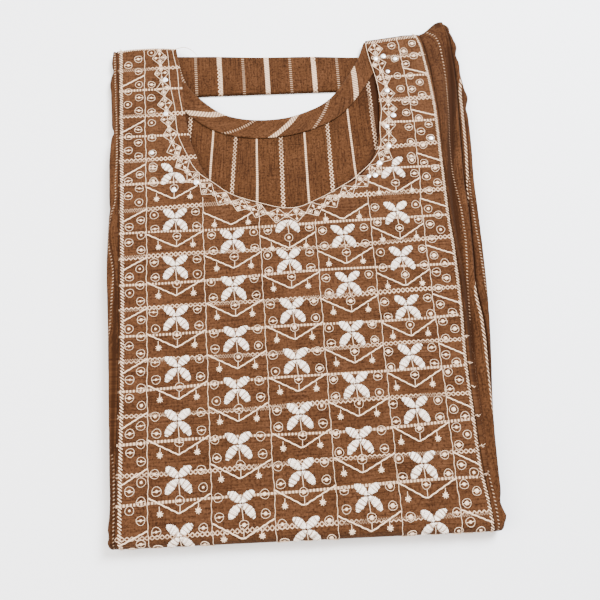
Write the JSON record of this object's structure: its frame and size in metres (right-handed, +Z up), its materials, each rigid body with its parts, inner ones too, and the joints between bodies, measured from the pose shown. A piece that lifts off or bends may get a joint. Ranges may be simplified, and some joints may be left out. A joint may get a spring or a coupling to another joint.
{
  "type": "folded kurta tunic",
  "caption": "Brown slub tunic folded to a flat packet, front up, with an embroidered centre front, a deep round neck and its sides, sleeves and skirt folded under.",
  "frame": {"origin": "middle of the folded packet, on the surface it lies on", "axes": "+Y from the bottom fold to the neck, +X to the right seen from above, +Z up"},
  "size_m": [0.3665, 0.5176, 0.0179],
  "materials": {
    "centre_front": "matt brown slub weave with cream stripes and embroidery",
    "side_front_left": "matt brown slub weave with cream stripes",
    "side_front_right": "matt brown slub weave with cream stripes",
    "sleeve_left": "matt brown slub weave with cream stripes",
    "sleeve_right": "matt brown slub weave with cream stripes",
    "back_body": "wrong side of the brown slub weave",
    "back_neck_facing": "matt brown slub weave",
    "turned_up_skirt_band": "matt brown slub weave with cream stripes",
    "folded_layers": "matt brown slub weave in its own shade"
  },
  "bodies": {
    "root": {"centre_front": "centre_front", "side_front_left": "side_front_left", "side_front_right": "side_front_right", "sleeve_left": "sleeve_left", "sleeve_right": "sleeve_right", "back_body": "back_body", "back_neck_facing": "back_neck_facing", "turned_up_skirt_band": "turned_up_skirt_band", "folded_layers": "folded_layers"}
  },
  "joints": []
}
